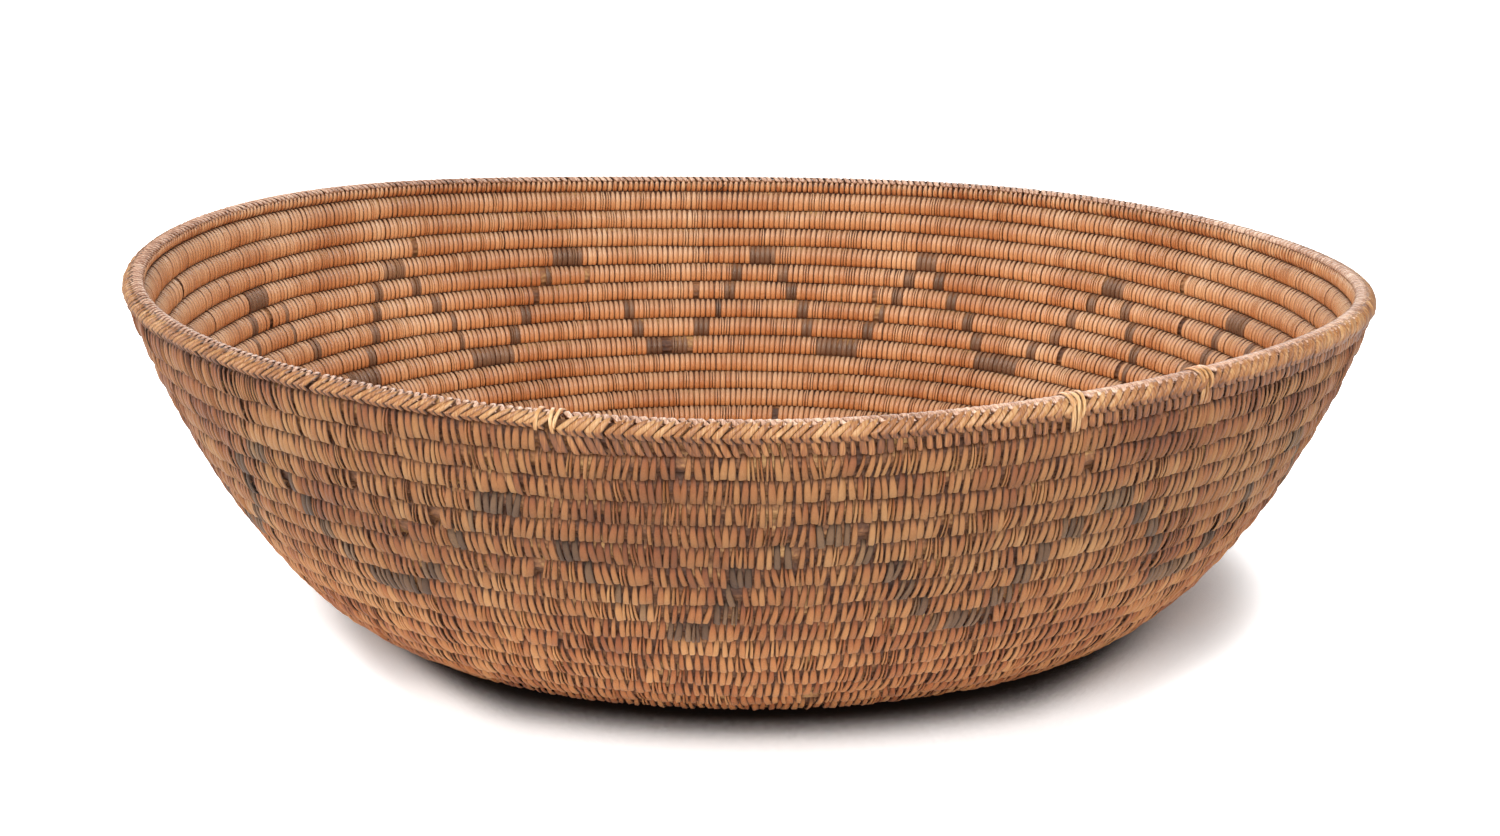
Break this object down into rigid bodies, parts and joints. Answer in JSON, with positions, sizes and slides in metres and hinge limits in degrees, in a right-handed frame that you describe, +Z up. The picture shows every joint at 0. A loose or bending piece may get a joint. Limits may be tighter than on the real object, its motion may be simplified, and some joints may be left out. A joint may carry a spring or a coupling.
{
  "type": "basket bowl",
  "caption": "Wide, shallow coiled basket bowl with a flat base, flared wall of sewn rows and a herringbone-laced rim.",
  "frame": {"origin": "middle of the underside, on the flat face of the start knot", "axes": "+Z up out of the bowl's mouth; the picture looks along +Y, with +X to its right"},
  "size_m": [0.4318, 0.4227, 0.1244],
  "materials": {
    "sewn_splint": "split shoots, sewn, satin",
    "rim_lacing": "paler split shoots, braided, satin",
    "lacing_splice": "newest split shoots, satin"
  },
  "bodies": {
    "root": {"start_knot": "sewn_splint", "base_coil": "sewn_splint", "foot_coil": "sewn_splint", "heel_coil": "sewn_splint", "wall_coil": "sewn_splint", "rim_coil": "sewn_splint", "rim_lacing_1": "rim_lacing", "rim_lacing_2": "rim_lacing", "rim_lacing_3": "rim_lacing", "rim_lacing_4": "rim_lacing", "rim_lacing_5": "rim_lacing", "rim_lacing_6": "rim_lacing", "rim_lacing_7": "rim_lacing", "rim_lacing_8": "rim_lacing", "rim_lacing_9": "rim_lacing", "lacing_splice_1": "lacing_splice", "lacing_splice_2": "lacing_splice", "lacing_splice_3": "lacing_splice"}
  },
  "joints": []
}
